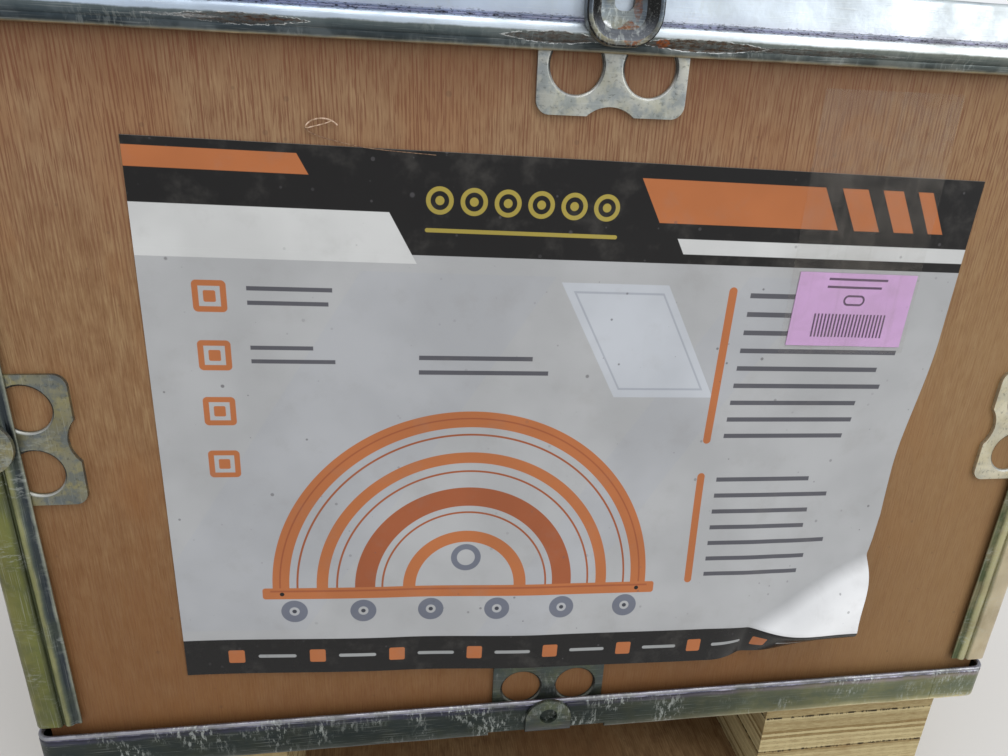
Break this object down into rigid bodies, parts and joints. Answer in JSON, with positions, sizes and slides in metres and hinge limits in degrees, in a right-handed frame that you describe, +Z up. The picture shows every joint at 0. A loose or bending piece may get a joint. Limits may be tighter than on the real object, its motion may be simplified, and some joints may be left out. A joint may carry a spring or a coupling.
{
  "type": "plywood shipping crate",
  "caption": "Long closed plywood shipping crate with steel edge strips, two-eyed folded tongue clips, laminated runners on a skid board, and a plain label sheet on one end.",
  "frame": {"origin": "middle of the base, on the ground", "axes": "+Z up, Y along the crate with the labelled end at -Y, X across it"},
  "size_m": [0.435, 2.2692, 0.381],
  "materials": {
    "plywood": "bare red-brown veneer",
    "skid_board": "bare red-brown veneer",
    "runner_timber": "sawn laminated timber",
    "edge_steel": "galvanized, scuffed",
    "clip_steel": "galvanized, dull",
    "label_paper": "printed coated paper",
    "tag_paper": "printed paper"
  },
  "bodies": {
    "root": {"bottom_board": "skid_board", "left_runner": "runner_timber", "right_runner": "runner_timber", "base_panel": "plywood", "left_side_panel": "plywood", "right_side_panel": "plywood", "front_end_panel": "plywood", "rear_end_panel": "plywood", "lid_panel": "plywood", "base_rim_front": "edge_steel", "base_rim_rear": "edge_steel", "base_rim_left": "edge_steel", "base_rim_right": "edge_steel", "lid_rim_front": "edge_steel", "lid_rim_rear": "edge_steel", "lid_rim_left": "edge_steel", "lid_rim_right": "edge_steel", "post_front_left": "edge_steel", "post_front_right": "edge_steel", "post_rear_left": "edge_steel", "post_rear_right": "edge_steel", "front_clip_top": "clip_steel", "front_clip_bottom": "clip_steel", "front_clip_left": "clip_steel", "front_clip_right": "clip_steel", "rear_clip_top": "clip_steel", "rear_clip_bottom": "clip_steel", "rear_clip_left": "clip_steel", "rear_clip_right": "clip_steel", "left_clips_top": "clip_steel", "left_clips_bottom": "clip_steel", "right_clips_top": "clip_steel", "right_clips_bottom": "clip_steel", "label_sheet": "label_paper", "lot_tag": "tag_paper"}
  },
  "joints": []
}
